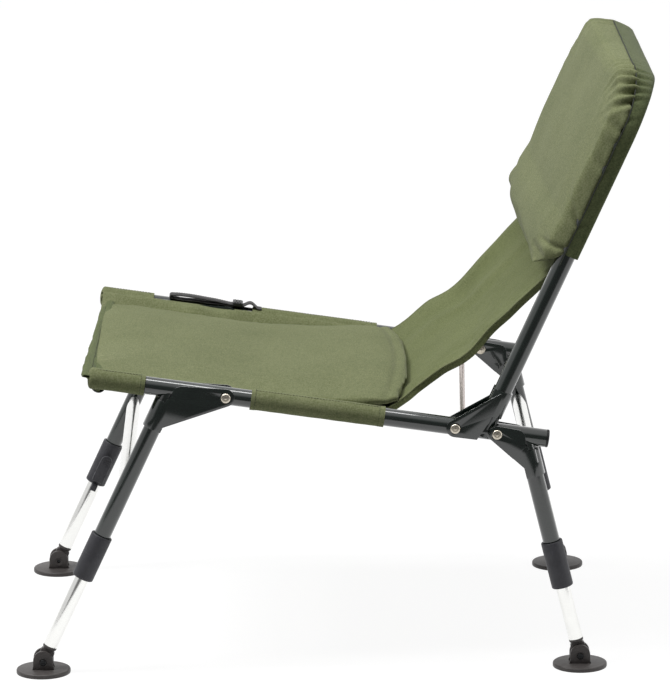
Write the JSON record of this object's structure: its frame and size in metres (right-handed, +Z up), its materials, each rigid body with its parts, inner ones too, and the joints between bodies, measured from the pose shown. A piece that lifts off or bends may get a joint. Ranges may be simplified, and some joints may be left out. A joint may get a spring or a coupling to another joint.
{
  "type": "folding fishing chair",
  "caption": "Low folding fishing chair: tube frame, padded fabric seat, reclining padded back, and telescopic clamped legs on swivelling disc feet.",
  "frame": {"origin": "on the ground, under the middle of the standing chair's box", "axes": "+Z up, the sitter faces -Y, +X is the sitter's left"},
  "size_m": [0.616, 0.8976, 0.8375],
  "materials": {
    "painted_steel": "dark green gloss paint on steel tube and sheet",
    "aluminium": "bright drawn aluminium tube",
    "bright_steel": "bright zinc-plated steel",
    "dark_steel": "blackened steel",
    "black_plastic": "moulded black plastic",
    "clamp_plastic": "fine-grained charcoal moulded plastic",
    "foot_plastic": "fine-grained dark grey-brown moulded plastic",
    "olive_fabric": "padded olive woven polyester",
    "black_webbing": "woven black webbing"
  },
  "bodies": {
    "root": {"left_side_rail": "painted_steel", "right_side_rail": "painted_steel", "left_rail_cap": "black_plastic", "right_rail_cap": "black_plastic", "front_cross_tube": "painted_steel", "left_front_pivot_bolt": "bright_steel", "right_front_pivot_bolt": "bright_steel", "left_backrest_pivot_bolt": "bright_steel", "right_backrest_pivot_bolt": "bright_steel", "left_rear_pivot_bolt": "bright_steel", "right_rear_pivot_bolt": "bright_steel", "seat_sling": "olive_fabric", "seat_pad": "olive_fabric", "lumbar_sling": "olive_fabric", "carry_strap": "black_webbing"},
    "backrest": {"left_backrest_bracket": "painted_steel", "right_backrest_bracket": "painted_steel", "spreader_rod": "bright_steel", "backrest_frame": "painted_steel", "backrest_cover": "olive_fabric", "backrest_cushion": "olive_fabric"},
    "front_legs": {"left_front_leg_bracket": "painted_steel", "right_front_leg_bracket": "painted_steel", "left_front_leg_tube": "painted_steel", "right_front_leg_tube": "painted_steel", "front_cross_bar": "aluminium", "left_front_bar_bolt": "dark_steel", "right_front_bar_bolt": "dark_steel", "left_front_clamp": "clamp_plastic", "right_front_clamp": "clamp_plastic"},
    "left_front_lower_leg": {"left_front_inner_tube": "aluminium", "left_front_ankle_plug": "foot_plastic"},
    "left_front_swivel_foot": {"left_front_foot": "foot_plastic", "left_front_foot_screw": "dark_steel"},
    "left_front_lever": {"left_front_clamp_lever": "clamp_plastic"},
    "right_front_lower_leg": {"right_front_inner_tube": "aluminium", "right_front_ankle_plug": "foot_plastic"},
    "right_front_swivel_foot": {"right_front_foot": "foot_plastic", "right_front_foot_screw": "dark_steel"},
    "right_front_lever": {"right_front_clamp_lever": "clamp_plastic"},
    "rear_legs": {"left_rear_leg_bracket": "painted_steel", "right_rear_leg_bracket": "painted_steel", "left_rear_leg_tube": "painted_steel", "right_rear_leg_tube": "painted_steel", "rear_cross_bar": "aluminium", "left_rear_bar_bolt": "dark_steel", "right_rear_bar_bolt": "dark_steel", "left_rear_clamp": "clamp_plastic", "right_rear_clamp": "clamp_plastic"},
    "left_rear_lower_leg": {"left_rear_inner_tube": "aluminium", "left_rear_ankle_plug": "foot_plastic"},
    "left_rear_swivel_foot": {"left_rear_foot": "foot_plastic", "left_rear_foot_screw": "dark_steel"},
    "left_rear_lever": {"left_rear_clamp_lever": "clamp_plastic"},
    "right_rear_lower_leg": {"right_rear_inner_tube": "aluminium", "right_rear_ankle_plug": "foot_plastic"},
    "right_rear_swivel_foot": {"right_rear_foot": "foot_plastic", "right_rear_foot_screw": "dark_steel"},
    "right_rear_lever": {"right_rear_clamp_lever": "clamp_plastic"}
  },
  "joints": [
    {"name": "backrest_fold", "type": "hinge", "parent": "root", "child": "backrest", "pos_m": [0, 0.16725, 0.34783], "axis": [1, 0, 0], "range_deg": [0, 96], "deforming": ["lumbar_sling"]},
    {"name": "front_legs_fold", "type": "hinge", "parent": "root", "child": "front_legs", "pos_m": [0, -0.15027, 0.395], "axis": [1, 0, 0], "range_deg": [0, 87]},
    {"name": "rear_legs_fold", "type": "hinge", "parent": "root", "child": "rear_legs", "pos_m": [0, 0.22521, 0.33922], "axis": [-1, 0, 0], "range_deg": [0, 106]},
    {"name": "left_front_leg_slide", "type": "slide", "parent": "front_legs", "child": "left_front_lower_leg", "axis": [0, 0.4289, 0.9033], "range_m": [-0.025, 0.085]},
    {"name": "left_front_foot_swivel", "type": "hinge", "parent": "left_front_lower_leg", "child": "left_front_swivel_foot", "pos_m": [0.27, -0.41079, 0.017], "axis": [1, 0, 0], "range_deg": [-60, 20]},
    {"name": "left_front_lever_swing", "type": "hinge", "parent": "front_legs", "child": "left_front_lever", "pos_m": [0.2483, -0.34829, 0.14862], "axis": [0, -0.9033, 0.4289], "range_deg": [0, 100]},
    {"name": "right_front_leg_slide", "type": "slide", "parent": "front_legs", "child": "right_front_lower_leg", "axis": [0, 0.4289, 0.9033], "range_m": [-0.025, 0.085]},
    {"name": "right_front_foot_swivel", "type": "hinge", "parent": "right_front_lower_leg", "child": "right_front_swivel_foot", "pos_m": [-0.27, -0.41079, 0.017], "axis": [1, 0, 0], "range_deg": [-60, 20]},
    {"name": "right_front_lever_swing", "type": "hinge", "parent": "front_legs", "child": "right_front_lever", "pos_m": [-0.2483, -0.34829, 0.14862], "axis": [0, 0.9033, -0.4289], "range_deg": [0, 100]},
    {"name": "left_rear_leg_slide", "type": "slide", "parent": "rear_legs", "child": "left_rear_lower_leg", "axis": [0, -0.2368, 0.9715], "range_m": [-0.03, 0.07]},
    {"name": "left_rear_foot_swivel", "type": "hinge", "parent": "left_rear_lower_leg", "child": "left_rear_swivel_foot", "pos_m": [0.27, 0.34164, 0.017], "axis": [1, 0, 0], "range_deg": [-25, 60]},
    {"name": "left_rear_lever_swing", "type": "hinge", "parent": "rear_legs", "child": "left_rear_lever", "pos_m": [0.2483, 0.3144, 0.12875], "axis": [0, -0.9715, -0.2368], "range_deg": [0, 100]},
    {"name": "right_rear_leg_slide", "type": "slide", "parent": "rear_legs", "child": "right_rear_lower_leg", "axis": [0, -0.2368, 0.9715], "range_m": [-0.03, 0.07]},
    {"name": "right_rear_foot_swivel", "type": "hinge", "parent": "right_rear_lower_leg", "child": "right_rear_swivel_foot", "pos_m": [-0.27, 0.34164, 0.017], "axis": [1, 0, 0], "range_deg": [-25, 60]},
    {"name": "right_rear_lever_swing", "type": "hinge", "parent": "rear_legs", "child": "right_rear_lever", "pos_m": [-0.2483, 0.3144, 0.12875], "axis": [0, 0.9715, 0.2368], "range_deg": [0, 100]}
  ]
}
